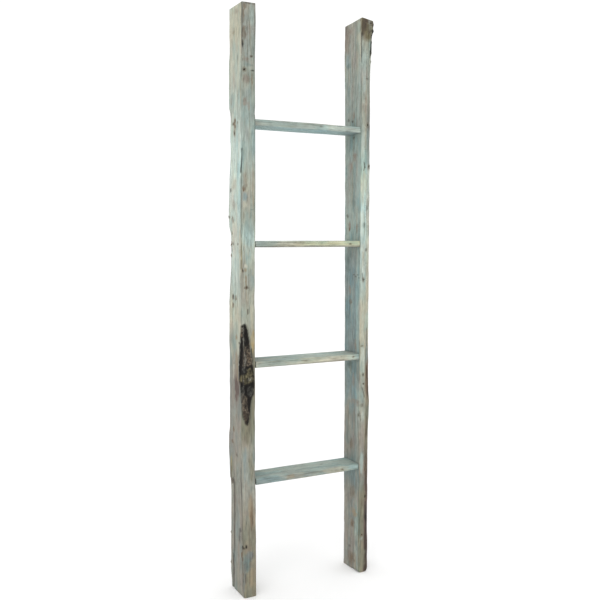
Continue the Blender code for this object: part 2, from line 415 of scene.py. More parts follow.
def board_section(thick, depth, front_left, front_right, back_size, columns, steps):
    """Points round a board's section at every ring.

    Corner sizes are (across, back) pairs. columns gives the left-hand and right-hand faces'
    columns, as functions of the places where the face starts and ends. steps is how many
    steps go round the left front corner, the right front corner and each back corner.
    """
    quarter = math.pi / 2
    back_corner = (back_size, back_size)
    corners = []
    for size, centre, count, start in (
            (front_left, front_left, steps[0], -2),
            (front_right, (thick - front_right[0], front_right[1]), steps[1], -1),
            (back_corner, (thick - back_size, depth - back_size), steps[2], 0),
            (back_corner, (back_size, depth - back_size), steps[2], 1)):
        across, back, *turns = quarter_ellipse(size, count, start * quarter,
                                                (start + 1) * quarter)
        corners.append((across + centre[0][:, None], back + centre[1][:, None], *turns))

    def flat(across, back, turn):
        across, back = np.broadcast_arrays(across, back)
        return across, back, np.full(across.shape, turn[0]), np.full(across.shape, turn[1])

    front = spread(front_left[0], thick - front_right[0], FACE_STEP)
    rear = spread(thick - back_size, back_size, REAR_STEP)
    left = columns[0](front_left[1], depth - back_size)[:, ::-1]
    right = columns[1](front_right[1], depth - back_size)
    parts = [corners[0], flat(front, 0.0, (0, -1)), corners[1], flat(thick, right, (1, 0)),
             corners[2], flat(rear, depth[:, None], (0, 1)), corners[3],
             flat(0.0, left, (-1, 0))]
    signs = [(1, -1)] + [(1, 1)] * 3 + [(-1, -1)] * 3 + [(1, -1)]
    around = [with_across * across + with_back * back
              for (across, back, _, _), (with_across, with_back) in zip(parts, signs)]
    joined = [np.concatenate(values, axis=1) for values in zip(*parts)]
    return (*joined, np.concatenate(around, axis=1))


def plain_columns(start, end):
    return spread(start, end, FACE_STEP)


def end_rings(surface, ring, paint, outward):
    """Close an end with rings that shrink to the middle of the section, and rough sawn wood."""
    across_axis, axis = surface.across_axis, surface.axis
    low, high = ring.min(axis=0), ring.max(axis=0)
    half = (high[across_axis] - low[across_axis]) / 2
    core = ring.copy()
    core[:, across_axis] = low[across_axis] + half
    core[:, 1] = np.clip(ring[:, 1], low[1] + half, high[1] - half)
    core[:, axis] = np.mean(ring[:, axis])
    tints, marks_and_bark, end = slice(0, 3), slice(3, 5), 6
    rings, paints = [], []
    for inset in END_INSETS:
        share = inset / (RAIL_THICK / 2)
        evened, inward, sawn = (min(1.0, share * fade) for fade in END_FADES)
        points = ring + (core - ring) * share * END_REACH
        rise = END_EDGE * math.sqrt(1 - (1 - min(1.0, share * half / END_EDGE)) ** 2)
        saw = SAW_MARK * noise(points, (9, 2.2, 9), surface.seed + 61)
        points[:, axis] += outward * (rise + saw * inward)
        shade = paint.copy()
        shade[:, tints] = blend(paint[:, tints], paint[:, tints].mean(axis=0), evened)
        shade[:, marks_and_bark] *= 1 - inward
        shade[:, end] = sawn
        rings.append(points)
        paints.append(shade)
    return rings, paints


def add_board(node, surface, material, shape=None):
    """Make a board's mesh in the place of its CAD node."""
    points, paint = surface.finished()
    low_rings, low_paint = end_rings(surface, points[0], paint[0], -1)
    high_rings, high_paint = end_rings(surface, points[-1], paint[-1], 1)
    points = np.concatenate([low_rings[::-1], points, high_rings])
    paint = np.concatenate([low_paint[::-1], paint, high_paint])
    if shape is not None:
        points = shape(points)

    count, sides = points.shape[:2]
    ring, side = np.meshgrid(np.arange(count - 1), np.arange(sides), indexing="ij")
    after = (side + 1) % sides
    quads = np.stack([ring * sides + side, ring * sides + after,
                      (ring + 1) * sides + after, (ring + 1) * sides + side], axis=-1)
    faces = quads.reshape(-1, 4).tolist()
    faces.append(list(range(sides))[::-1])
    faces.append([(count - 1) * sides + i for i in range(sides)])
    if surface.axis == 0:
        faces = [face[::-1] for face in faces]

    mesh = bpy.data.meshes.new(f"{node}_board")
    mesh.from_pydata((points.reshape(-1, 3) * MM).tolist(), [], faces)
    mesh.shade_smooth()
    paint = paint.reshape(-1, paint.shape[-1])
    wash = mesh.attributes.new("wash", "FLOAT_COLOR", "POINT")
    wash.data.foreach_set("color", np.c_[paint[:, :3], np.ones(len(paint))].ravel())
    for column, label in enumerate(LAYERS, start=3):
        layer = mesh.attributes.new(label, "FLOAT", "POINT")
        layer.data.foreach_set("value", np.ascontiguousarray(paint[:, column]))
    mesh.materials.append(material)

    board = put(f"{node}_board", mesh)
    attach(board, "root")
    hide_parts(node)


# ---- weathering ----
BLUER = (-0.26, -0.09, -0.01)
BROWNER = (-0.03, -0.13, -0.25)
ROSIER = (0.03, -0.10, -0.09)
PALER = (0.20, 0.17, 0.10)
DARKER = (-0.22, -0.22, -0.22)


def shift(surface, amount, change):
    """Change the tints by a share of themselves, in red, green and blue, where amount nears 1."""
    surface.tint *= 1 + amount[..., None] * np.array(change)


def weather(surface, cool, warm, pale):
    """Lay bluish, rosy and brownish streaks, mottling and pale blotches over the base tints."""
    shift(surface, cool * ramp(surface.noise(12, 220, 3, layers=2), -0.05, 0.6), BLUER)
    shift(surface, warm * ramp(surface.noise(9, 130, 4, layers=2), 0.0, 0.6), BROWNER)
    shift(surface, pale * ramp(surface.noise(26, 70, 5, layers=3), 0.0, 0.5), PALER)
    mottles = surface.noise(18, 50, 7, layers=3)
    shift(surface, cool * ramp(mottles, 0.0, 0.4), BLUER)
    shift(surface, 1.6 * warm * ramp(-mottles, 0.05, 0.45), ROSIER)
    shift(surface, surface.noise(5, 30, 6, layers=3), DARKER)


def grain(surface, live):
    """Raise the grain, and roughen the surface where live nears 1."""
    surface.relief += 0.18 * surface.noise(4.5, 110, 11, layers=2)
    surface.relief += 0.45 * surface.noise(38, 180, 12)
    surface.relief += live * 1.3 * surface.noise(13, 45, 13, layers=3)


def drill(surface):
    """Sink a round hole in a rail's outer face over each screw's head, with painted shade in it
    and on its rim.
    """
    face = surface.around < -SAWN_EDGE if surface.outer_is_left else surface.around > RAIL_THICK
    for height, back in itertools.product(RUNG_HEIGHTS, SCREW_BACKS):
        down = surface.back - back
        up = surface.along - height
        away = np.hypot(down, up)
        near = face & (away < LEVEL_TO)
        surface.relief[near] *= ramp(away[near], LEVEL_FROM, LEVEL_TO)
        inside = face & (away < HOLE_RADIUS - HOLE_RIM)
        rim = face & (np.abs(away - HOLE_RADIUS) <= HOLE_RIM)
        grow = np.ones(away.shape)
        grow[inside] = (HOLE_RADIUS - HOLE_WALL) / (HOLE_RADIUS - HOLE_RIM)
        grow[rim] = HOLE_RADIUS / away[rim]
        surface.spots[..., 1] += down * (grow - 1)
        surface.spots[..., 2] += up * (grow - 1)
        surface.relief[inside] -= HOLE_DEPTH
        # painted shade on the hole's rim and inside it
        surface.darken(RIM_SHADE * rim)
        surface.dark[inside] = HOLE_SHADE


def shade_joints(surface):
    """Paint shade on a rail's inner face along the outline of each rung, and level it behind
    them.
    """
    face = surface.around > RAIL_THICK if surface.outer_is_left else surface.around < 0
    for height in RUNG_HEIGHTS:
        beside = np.maximum(np.abs(surface.along - height) - RUNG_THICK / 2,
                            np.maximum(RUNG_FRONT - surface.back, surface.back - RUNG_BACK))
        # painted contact shade on the rail where the rung meets it
        surface.darken(JOINT_SHADE * stroke(beside, JOINT_SHADE_LINE) * face)
        surface.relief *= 1 - JOINT_LEVEL * face * (1 - ramp(beside, JOINT_FROM, JOINT_TO))


# ---- the rails ----
def rail_surface(node, depths, left_wane, right_wane, outer_is_left, seed):
    low = box_mm(node)[0]
    heights = clustered(END_EDGE, HEIGHT - END_EDGE, RAIL_STEP, RUNG_HEIGHTS)
    depth = eased(depths, heights)
    left, right = (eased(wane.sizes, heights) for wane in (left_wane, right_wane))
    columns = (screw_columns, plain_columns) if outer_is_left else (plain_columns, screw_columns)
    steps = (10, 8, 6) if outer_is_left else (4, 18, 6)
    section = board_section(RAIL_THICK, depth, (left * left_wane.ratio, left),
                            (right * right_wane.ratio, right),
                            np.full(len(heights), BACK_EDGE), columns, steps)
    surface = Surface(section, heights, (low[0], FRONT, 0), axis=2, seed=seed)
    surface.outer_is_left = outer_is_left
    surface.depth = depth[:, None]
    surface.left_corner = -left[:, None]
    surface.right_corner = RAIL_THICK - right[:, None] * right_wane.ratio
    surface.right_side = RAIL_THICK + right[:, None]
    return surface


def paint_faces(surface, side, front, edge, edge_from, rear):
    """Lay the base tints: left-hand face, front, waney edge, and the faces behind."""
    side, front, edge, rear = (eased(tints, surface.along) for tints in (side, front, edge, rear))
    past_corner = surface.around - surface.left_corner
    surface.tint = blend(side, front, ramp(past_corner, -CORNER_BLEND, CORNER_BLEND))
    surface.lay(edge, ramp(surface.around, *edge_from))
    hidden = np.maximum(ramp(surface.around - RAIL_THICK, *REAR_TINT),
                        ramp(surface.back - surface.depth, *BACK_TINT))
    surface.lay(rear, hidden)


def live_share(surface):
    """1 on the right-hand corner and the back edge, which follow the tree's outside."""
    arc = np.minimum(ramp(surface.around - surface.right_corner, -4, 6),
                     1 - ramp(surface.around - surface.right_side, -4, 6))
    rear = ramp(surface.back - surface.depth, -9, -2)
    return np.maximum(arc * ramp(surface.right_side - RAIL_THICK, 3, 9), rear)


LEFT_SIDE = (
    (0, STONE), (700, STONE), (800, SAGE), (880, STRAW), (1000, MINT), (1080, PALE_SAGE),
    (1140, PALE_SAGE), (1330, AQUA), (1420, AQUA), (1500, MINT), (1760, STRAW), (HEIGHT, STRAW),
)
LEFT_FRONT = (
    (0, KHAKI), (200, KHAKI), (330, DRIFTWOOD), (440, DRIFTWOOD), (540, OLIVE), (700, OLIVE),
    (840, SAGE), (1040, SAGE), (1120, MINT), (1200, SAGE), (1270, SAGE), (1380, TEAL),
    (1520, SEA), (1600, SAGE), (1700, SMOKE), (HEIGHT, DRIFTWOOD),
)
LEFT_REAR = ((0, STONE), (500, STONE), (900, SMOKE), (1400, TEAL), (HEIGHT, SAGE))
LEFT_STAINS = (
    # the outer side, top to bottom
    (-47, 1810, 22, 10, ROSE, 0.45), (-62, 1785, 28, 26, STRAW, 0.6),
    (-62, 1754, 12, 14, TAN, 0.75), (-29, 1734, 16, 22, STRAW, 0.7),
    (-58, 1688, 36, 40, TEAL, 0.5), (-74, 1658, 18, 14, CREAM, 0.7), (-11, 1575, 3, 50, TAN, 0.6),
    (-85, 1550, 9, 16, ROSE, 0.6), (-59, 1470, 15, 34, TAN, 0.6), (-56, 1488, 6, 7, RUST, 0.95),
    (-66, 1479, 5, 6, RUST), (-56, 1471, 6, 6, RUST, 0.9), (-53, 1376, 38, 34, AQUA, 0.6),
    (-69, 1293, 24, 24, CREAM), (-94, 1278, 6, 6, UMBER, 0.7), (-68, 1232, 12, 20, ROSE, 0.7),
    (-80, 1188, 12, 12, ROSE, 0.6), (-83, 1192, 5, 6, RUST, 0.9), (-75, 1182, 4, 7, RUST, 0.8),
    (-106, 1196, 7, 7, UMBER, 0.8), (-84, 1145, 5, 5, RUST, 0.8), (-90, 1114, 7, 7, RUST, 0.95),
    (-91, 1093, 7, 8, UMBER, 0.7), (-92, 1076, 7, 7, RUST, 0.95), (-27, 1088, 7, 7, RUST, 0.8),
    (-22, 1055, 9, 100, STRAW), (-60, 1030, 26, 50, AQUA, 0.45), (-79, 946, 9, 9, UMBER),
    (-57, 944, 7, 10, RUST), (-79, 918, 8, 12, RUST), (-86, 817, 18, 60, BLUE_GREY, 0.4),
    (-41, 790, 10, 60, STRAW, 0.8), (-54, 821, 8, 8, TAN), (-33, 806, 5, 4, UMBER),
    (-56, 750, 12, 26, TAN, 0.75), (-77, 715, 9, 34, CREAM, 0.7), (-56, 690, 24, 80, ROSE, 1.3),
    (-55, 662, 20, 52, PLUM, 1.4), (-50, 728, 10, 40, TAN, 0.7), (-76, 587, 26, 26, SMOKE, 0.5),
    (-44, 533, 14, 18, ROSE, 0.8), (-80, 524, 6, 9, RUST), (-90, 483, 8, 8, RUST),
    (-97, 400, 13, 50, OLIVE, 0.95), (-104, 406, 5, 34, MUSTARD, 0.6),
    (-92, 352, 8, 14, UMBER, 0.75), (-104, 378, 5, 26, UMBER, 0.6), (-55, 447, 5, 7, UMBER),
    (-42, 297, 10, 16, ROSE, 0.75), (-30, 211, 6, 9, SOOT, 0.9), (-36, 190, 6, 22, UMBER, 0.7),
    (-85, 114, 13, 24, BLUE_GREY, 0.7), (-50, 57, 22, 40, KHAKI, 0.5),
    # the front, top to bottom
    (22, 1827, 24, 4, UMBER, 0.75), (8, 1817, 6, 9, RUST, 0.75), (5, 1790, 3, 22, RUST),
    (7, 1736, 6, 24, RUST), (1, 1706, 3, 12, SOOT, 0.75), (31, 1789, 7, 36, TEAL, 0.6),
    (30, 1672, 5, 3, UMBER, 0.9), (14, 1662, 14, 9, ROSE, 0.9), (22, 1648, 16, 7, BLUE_GREY, 0.6),
    (34, 1631, 7, 2.5, SOOT), (15, 1607, 15, 15, ROSE), (32, 1603, 3, 18, RUST, 0.6),
    (19, 1565, 16, 16, SLATE, 0.45), (9, 1539, 9, 14, ROSE, 0.7), (21, 1525, 5, 13, ROSE, 0.5),
    (7, 1301, 9, 26, ROSE, 0.6), (2, 1279, 6, 9, RUST), (8, 1252, 9, 14, SLATE, 0.95),
    (7, 1230, 8, 13, STRAW, 0.6), (34, 1283, 3, 80, TAN, 0.6), (28, 1217, 11, 1.5, BLUE_GREY),
    (-11, 1086, 3, 46, MUSTARD, 0.9), (13, 1098, 16, 24, STRAW, 0.5),
    (9, 1045, 8, 6, CREAM, 0.95), (8, 1033, 5, 5, TAN), (11, 979, 7, 5, UMBER, 0.95),
    (9, 999, 2.5, 22, TAN), (27, 999, 8, 30, SLATE, 0.5), (15, 905, 2, 8, UMBER),
    (29, 883, 6, 60, STRAW, 0.8), (30, 843, 12, 24, KHAKI, 0.55), (33, 812, 8, 42, OCHRE, 0.75),
    (36, 770, 5, 26, OLIVE, 0.7), (31, 600, 10, 62, OLIVE, 0.75), (13, 515, 2, 26, OLIVE),
    (25, 414, 10, 60, OLIVE, 0.7), (3, 428, 9, 50, SLATE, 0.6), (24, 280, 9, 60, TAN, 1.0),
    (25, 262, 5, 40, RUST, 0.8), (7, 273, 10, 12, ROSE), (-13, 162, 5, 7, SOOT, 1.0),
    (-3, 160, 10, 3, UMBER, 1.0), (6, 166, 4, 6, SOOT, 0.9), (-20, 134, 6, 10, RUST, 1.2),
    (-14, 122, 8, 7, RUST, 1.2), (25, 133, 7, 12, PLUM), (26, 64, 12, 44, TAN, 0.65),
    (6, 112, 19, 34, BLUE_GREY, 1.1), (18, 136, 14, 15, PEWTER, 1.1),
    (-2, 84, 11, 34, PEWTER, 0.9), (4, 104, 7, 16, LEAD, 0.5), (-6, 42, 8, 30, PEWTER, 0.7),
)
LEFT_KNOTS = (
    (-62, 1450, 4.5, 1.1, 0.95), (7, 1632, 4.0, 1.1, 1.0), (-4, 1031, 4.0, 1.0, 0.95),
    (11, 979, 2.6, 1.2, 0.7), (88, 1210, 5.0, 1.3, 0.6), (110, 640, 6.0, 1.4, 0.6),
    (75, 210, 4.0, 1.3, 0.6), (96, 1690, 4.5, 1.3, 0.5), (-125, 900, 5.0, 1.4, 0.6),
)
LEFT_CHECKS = (
    (-81, 100, 400, 4.5, 0.85, 2), (-90, -20, 125, 4.5, 0.9, 1), (-8, 45, 82, 1.0, 0.75, 0),
    (4, 45, 82, 1.0, 0.75, 0), (30, 742, 796, 2.0, 0.95, -4), (15, 1665, 1822, 0.9, 0.4, 2),
    (24, 1690, 1826, 0.8, 0.4, -3), (-34, 1620, 1824, 1.2, 0.25, 4),
    (-66, 1510, 1650, 1.2, 0.25, 5), (-30, 560, 780, 1.2, 0.3, -4), (-72, 190, 420, 1.2, 0.35, 5),
    (17, 20, 250, 0.9, 0.4, 4), (78, 900, 1300, 1.0, 0.5, 6), (104, 30, 420, 1.1, 0.55, -5),
    (70, 1500, 1815, 0.9, 0.4, 3), (-130, 1050, 1500, 1.0, 0.4, 4),
    (-140, 100, 520, 1.0, 0.45, -3),
)
LEFT_EDGE_LINES = (
    (1690, HEIGHT + 20, 3.2, 1.0), (1560, 1705, 2.4, 0.5),
    (1395, 1500, 2.0, 0.55), (1322, 1405, 5.0, 1.3),
    (1060, 1330, 3.6, 0.9), (1034, 1066, 4.0, 1.0),
    (860, 1030, 3.0, 0.6), (168, 450, 4.2, 1.0),
    (-20, 165, 3.0, 0.6), (1120, HEIGHT, 2.2, 0.6, "right_corner"),
    (150, 240, 2.2, 0.6, "right_side"),
)
LEFT_BUMPS = (
    (-106, 1197, 7, 7, 2.0), (-105, 181, 6, 6, 2.5), (-107, 80, 6, 6, 2.5),
    (-92, 1107, 6, 6, 2.2), (-94, 1076, 6, 6, 2.0), (44, 1780, 9, 90, 2.4),
    (46, 1500, 9, 22, -1.8), (44, 400, 12, 40, -1.5), (-5, 1035, 9, 10, 1.4),
)


# ---- the pocket where bark has fallen out of the left rail's front ----
POCKET_LEFT = (
    (548, 13), (560, 4), (580, -10), (610, -18), (637, -23), (667, -29), (690, -37), (705, -38),
    (744, -36), (784, -31), (824, -25), (859, -20), (870, 4),
)
POCKET_RIGHT = (
    (548, 14), (572, 20), (611, 24), (634, 27), (651, 35), (672, 39), (704, 38), (724, 33),
    (747, 31), (779, 26), (797, 23), (818, 20), (845, 17), (862, 12), (870, 7),
)
POCKET_DEPTH, POCKET_CRUST = 6.5, 1.7
POCKET_PATCHES = (
    (-10, 828, 11, 40, ASH, 0.8), (-22, 840, 4, 22, RUST, 0.6), (24, 796, 5, 16, RUST, 0.8),
    (6, 763, 32, 30, BARK_GREY, 1.0), (6, 752, 6, 22, STONE, 0.6), (20, 762, 6, 14, RUST, 0.5),
    (-26, 758, 5, 30, SOOT, 1.0), (-6, 722, 20, 9, LEAD, 0.6), (24, 716, 11, 12, BARK_TAN, 0.9),
    (2, 695, 38, 15, BARK_TAN, 1.0), (-15, 688, 8, 5, STONE, 0.6), (24, 694, 7, 5, STONE, 0.5),
    (-16, 654, 10, 20, LEAD, 0.9), (24, 656, 10, 16, LEAD, 0.7), (3, 637, 8, 6, BARK_GREY, 0.9),
    (-2, 605, 20, 42, BARK_GREY, 0.9), (21, 612, 4, 30, SOOT, 1.0), (6, 574, 9, 18, UMBER, 0.9),
)


def open_pocket(surface):
    """Sink the bark pocket, with black rims, patches of bark left in it and painted shade round
    its lip.
    """
    left, right = eased(POCKET_LEFT, surface.along), eased(POCKET_RIGHT, surface.along)
    ragged = 1.6 * surface.noise(6, 12, 51, layers=2)
    depth_in = np.minimum(surface.around - left, right - surface.around) + ragged
    foot, head = POCKET_LEFT[0][0], POCKET_LEFT[-1][0]
    tips = within(surface.along, (foot - 2, foot + 6), (head - 6, head + 3))
    inside = ramp(depth_in, -0.5, 1.5) * tips
    floor = ramp(depth_in, -1, 7) * tips
    crust = surface.noise(5, 10, 52, layers=2)
    surface.relief = (surface.relief * (1 - inside) - floor * POCKET_DEPTH
                      + inside * POCKET_CRUST * crust)
    surface.lay(SOOT, inside)
    outside = surface.tint.copy()
    surface.add_stains([Stain(*row) for row in POCKET_PATCHES], solid=0.75)
    crevices = ramp(surface.noise(5, 8, 53, layers=3), 0.0, 0.25)
    surface.lay(SOOT, 0.7 * crevices)
    surface.tint = blend(outside, surface.tint, inside)
    surface.bark = np.maximum(surface.bark, inside)
    # a band of painted shade on the surface just outside the pocket's lip
    rim_shade = stroke(depth_in + 1.5, 2.5) * tips
    surface.dark = np.maximum(surface.dark * (1 - inside), 0.45 * rim_shade * (1 - inside))


RIGHT_SIDE = (
    (0, STONE), (280, STONE), (350, SLATE), (430, STONE), (520, STONE), (660, SLATE),
    (1020, SLATE), (1140, TEAL), (1320, SMOKE), (1440, SEA), (1560, SMOKE), (HEIGHT, DRIFTWOOD),
)
RIGHT_FORE = (
    (0, DRIFTWOOD), (180, SAGE), (300, STONE), (360, SMOKE), (440, SMOKE), (600, TEAL),
    (700, SMOKE), (780, TEAL), (1700, TEAL), (HEIGHT, STRAW),
)
RIGHT_FRONT = (
    (0, KHAKI), (230, OLIVE), (360, STONE), (480, DRIFTWOOD), (570, SAGE), (640, SAGE),
    (720, STRAW), (900, STRAW), (1020, PALE_SAGE), (1200, AQUA), (1330, LIGHT_GREEN),
    (1450, MINT), (1540, SAGE), (1700, TEAL), (1775, SAGE), (1790, OLIVE), (HEIGHT, OLIVE),
)
RIGHT_EDGE = (
    (0, UMBER), (180, PLUM), (300, PLUM), (380, BARK_GREY), (460, OLIVE), (540, KHAKI),
    (600, KHAKI), (640, RUST), (680, RUST), (730, STONE), (860, STRAW), (1000, STRAW),
    (1330, PALE_SAGE), (1420, DRIFTWOOD), (1500, STONE), (1600, DRIFTWOOD), (1740, SAGE),
    (HEIGHT, OLIVE),
)
RIGHT_REAR = ((0, STONE), (400, STONE), (800, SMOKE), (1300, TEAL), (HEIGHT, SAGE))
RIGHT_STAINS = (
    # the inner side, top to bottom
    (-99, 1788, 16, 48, PLUM, 0.9), (-88, 1765, 26, 40, ROSE, 0.8), (-77, 1806, 18, 14, ROSE),
    (-87, 1785, 12, 22, ROSE, 0.75), (-90, 1709, 12, 24, SLATE), (-82, 1695, 16, 10, BLUE_GREY),
    (-9, 1740, 5, 45, CREAM, 0.9), (-48, 1528, 10, 18, ROSE), (-55, 1511, 6, 4, UMBER, 0.75),
    (-80, 1518, 6, 5, LEAD, 0.7), (-79, 1440, 20, 34, BLUE_GREY, 0.35),
    (-47, 1459, 6, 5, UMBER, 0.7), (-38, 1394, 16, 16, ROSE), (-62, 1363, 9, 18, ROSE),
    (-44, 1247, 9, 26, BLUE_GREY), (-84, 1203, 9, 8, LEAD, 0.6), (-69, 1169, 8, 18, ROSE, 0.9),
    (-71, 1159, 5, 6, RUST, 0.9), (-23, 1163, 9, 18, ROSE, 0.8),
    (-74, 1048, 22, 44, BLUE_GREY, 0.7), (-40, 1008, 6, 2, LEAD, 0.8),
    (-28, 1003, 6, 2, LEAD, 0.8), (-16, 1008, 6, 2, LEAD, 0.8), (-9, 1000, 6, 2, LEAD, 0.8),
    (-65, 956, 8, 18, ROSE), (-60, 918, 12, 12, RUST, 0.6), (-71, 837, 20, 44, BLUE_GREY, 0.3),
    (-30, 778, 9, 18, ROSE, 0.8), (-62, 702, 22, 12, BLUE_GREY, 0.95), (-41, 654, 9, 22, ROSE),
    (-24, 581, 34, 14, ROSE, 0.7), (-35, 519, 8, 40, ROSE, 0.45), (-50, 434, 8, 20, RUST, 0.75),
    (-40, 267, 18, 28, RUST, 0.6), (-31, 201, 22, 14, TAN, 0.9), (-39, 163, 15, 20, RUST, 0.9),
    (-17, 100, 9, 28, BLUE_GREY, 0.6), (-58, 75, 5, 5, LEAD), (-45, 36, 26, 34, RUST, 0.8),
    # the front, top to bottom
    (18, 1798, 30, 38, BARK_TAN, 1.0), (34, 1800, 8, 22, OLIVE, 0.8),
    (3, 1802, 5, 30, UMBER, 0.8), (24, 1822, 24, 7, UMBER, 0.9), (12, 1806, 8, 16, UMBER, 0.9),
    (26, 1793, 7, 9, UMBER, 0.8), (29, 1820, 6, 10, SMOKE, 0.7), (42, 1818, 6, 9, SOOT, 1.0),
    (43, 1790, 6, 22, SOOT, 0.95), (37, 1738, 5, 24, SOOT, 0.95), (46, 1701, 4, 5, LEAD),
    (23, 1643, 7, 2.5, LEAD, 0.75), (10, 1622, 9, 26, TEAL, 0.7), (11, 1551, 7, 16, ROSE, 0.6),
    (44, 1486, 4, 9, UMBER), (16, 1315, 12, 34, LIGHT_GREEN, 0.9), (33, 1246, 4, 20, ROSE, 0.75),
    (27, 1228, 3, 10, LEAD, 0.75), (12, 1173, 5, 9, BLUE_GREY, 0.65),
    (39, 1156, 5, 26, ROSE, 0.65), (22, 1091, 5, 6, UMBER, 0.55), (10, 1065, 6, 26, STRAW, 0.7),
    (18, 900, 14, 70, STRAW, 0.5), (8, 773, 6, 4, OLIVE), (11, 744, 8, 30, PALE_SAGE, 0.7),
    (33, 650, 8, 66, RUST, 0.95), (34, 655, 6, 62, UMBER), (14, 647, 4, 3, UMBER),
    (10, 582, 14, 22, PEWTER, 0.3), (12, 538, 6, 20, AQUA, 0.3), (31, 495, 5, 36, UMBER),
    (9, 380, 6, 40, TEAL, 0.8), (18, 272, 9, 30, OLIVE, 0.8), (29, 208, 6, 34, SOOT, 0.7),
    (34, 120, 7, 90, SOOT, 0.65), (34, 320, 8, 70, UMBER), (11, 118, 5, 6, SMOKE),
    (17, 50, 14, 36, OLIVE, 0.7),
)
RIGHT_KNOTS = (
    (34, 1819, 4.0, 1.1, 1.0), (27, 1496, 4.0, 1.4, 0.95), (38, 1362, 4.0, 1.1, 0.95),
    (11, 993, 3.4, 1.5, 0.8), (12.5, 678, 3.4, 1.2, 0.8), (8, 576, 4.0, 1.0, 0.6),
    (-6, 541, 3.2, 1.2, 0.9), (25, 357, 3.4, 1.6, 0.95), (28, 262, 4.5, 1.8, 1.0),
    (13, 131, 3.0, 1.2, 0.95), (92, 1320, 6.0, 1.3, 0.6), (110, 760, 5.0, 1.3, 0.6),
    (84, 240, 4.5, 1.4, 0.6), (-125, 1150, 5.0, 1.4, 0.6), (-118, 300, 4.5, 1.4, 0.6),
)
RIGHT_CHECKS = (
    (16, 1356, 1378, 1.8, 0.9, -6), (9, 1346, 1366, 1.8, 0.9, 5), (9, 990, 1018, 1.5, 0.7, -2),
    (30, 765, 840, 2.2, 0.8, 0), (20, 596, 640, 1.8, 0.7, -14), (5, 520, 562, 1.8, 0.6, -9),
    (46, 500, 760, 1.3, 0.5, 1), (-60, 1480, 1820, 1.2, 0.3, 6), (-88, 700, 1100, 1.2, 0.35, 5),
    (-40, 40, 260, 1.2, 0.35, -5), (-75, 300, 560, 1.2, 0.3, 4), (16, 1560, 1760, 0.8, 0.4, 3),
    (22, 20, 170, 1.1, 0.6, 5), (80, 850, 1250, 1.0, 0.5, 6), (100, 1400, 1815, 1.1, 0.5, -5),
    (72, 40, 480, 0.9, 0.4, 3), (-128, 600, 1080, 1.0, 0.45, 4),
)
RIGHT_EDGE_LINES = (
    (1685, 1790, 3.2, 0.95), (1400, 1690, 2.4, 0.45),
    (640, 800, 2.4, 0.7), (3, 500, 1.8, 0.35),
)
RIGHT_BUMPS = (
    (44, 1363, 9, 12, 2.6), (46, 1492, 8, 12, 1.6), (42, 585, 14, 30, 2.2), (46, 1701, 7, 7, 2.6),
    (41, 1817, 7, 8, 2.6), (43, 1797, 7, 6, 2.4), (41, 1776, 6, 7, -2.0), (41, 1762, 6, 6, 1.8),
    (42, 1726, 5, 7, 1.8), (42, 1655, 6, 6, 1.2), (11, 900, 16, 900, 2.0), (6, 577, 12, 34, 2.6),
    (13, 130, 4, 5, -2.0), (44, 1361, 4, 3, -2.0),
)


def mark_rail(surface, marks):
    """Raise the grain, add the marks, and roughen the live edges."""
    live = live_share(surface)
    grain(surface, live)
    surface.add_marks(marks)
    surface.wear += 0.35 * live
    bark_left = ramp(surface.noise(12, 40, 71, layers=2), 0, 0.6)
    surface.bark = np.maximum(surface.bark, 0.35 * live * bark_left)


def place_rail(node, surface, shape=None):
    """Finish a rail where it meets the rungs and the screws, and make its mesh."""
    shade_joints(surface)
    drill(surface)
    add_board(node, surface, washed_wood(f"{node}_wood", 2), shape)


def make_left_rail():
    surface = rail_surface("left_rail", LEFT_DEPTH, LEFT_OUTER, LEFT_INNER, True, seed=101)
    paint_faces(surface, LEFT_SIDE, LEFT_FRONT, LEFT_FRONT, (20, 36), LEFT_REAR)
    weather(surface, cool=0.45, warm=0.3, pale=0.5)
    mark_rail(surface, {Stain: LEFT_STAINS, Knot: LEFT_KNOTS, Check: LEFT_CHECKS,
                        EdgeLine: LEFT_EDGE_LINES, Bump: LEFT_BUMPS})
    open_pocket(surface)
    place_rail("left_rail", surface)


TOP_DROP, TOP_SLANT = 1, 6      # how low its top is sawn, and how much it rises inwards
TOP_FROM = 1600                 # the height from which the board stretches to fit it
FOOT_RADII = (20, 9)            # of its foot's corners at the front, outer and inner
FOOT_BACK, FOOT_UP = (25, 60), (0, 80)  # where that rounding fades out, backwards and upwards


def shape_right_ends(points):
    """Saw the right rail's top a little off square and round its foot at the front."""
    low, high = box_mm("right_rail")
    from_outer = high[0] - points[..., 0]
    from_inner = points[..., 0] - low[0]
    back = points[..., 1] - FRONT
    inner, fore = 1 - from_inner / RAIL_THICK, 1 - back / (high[1] - low[1])
    lift = TOP_SLANT * inner * fore - TOP_DROP * (1 + fore * (1 - inner))
    points[..., 2] += lift * ramp(points[..., 2], TOP_FROM, HEIGHT)
    for across, radius in zip((from_outer, from_inner), FOOT_RADII):
        over = np.clip(radius - across, 0, radius)
        rise = radius - np.sqrt(radius ** 2 - over ** 2)
        points[..., 2] += (rise * (1 - ramp(back, *FOOT_BACK))
                           * (1 - ramp(points[..., 2], *FOOT_UP)))
    return points


def make_right_rail():
    surface = rail_surface("right_rail", RIGHT_DEPTH, RIGHT_INNER, RIGHT_OUTER, False, seed=211)
    paint_faces(surface, RIGHT_SIDE, RIGHT_FRONT, RIGHT_EDGE, (15, 26), RIGHT_REAR)
    near_front = within(surface.around, (-30, -20), (-3.5, -0.5))
    surface.lay(eased(RIGHT_FORE, surface.along), 0.9 * near_front)
    weather(surface, cool=0.65, warm=0.4, pale=0.4)
    mark_rail(surface, {Stain: RIGHT_STAINS, Knot: RIGHT_KNOTS, Check: RIGHT_CHECKS,
                        EdgeLine: RIGHT_EDGE_LINES, Bump: RIGHT_BUMPS})
    place_rail("right_rail", surface, shape_right_ends)


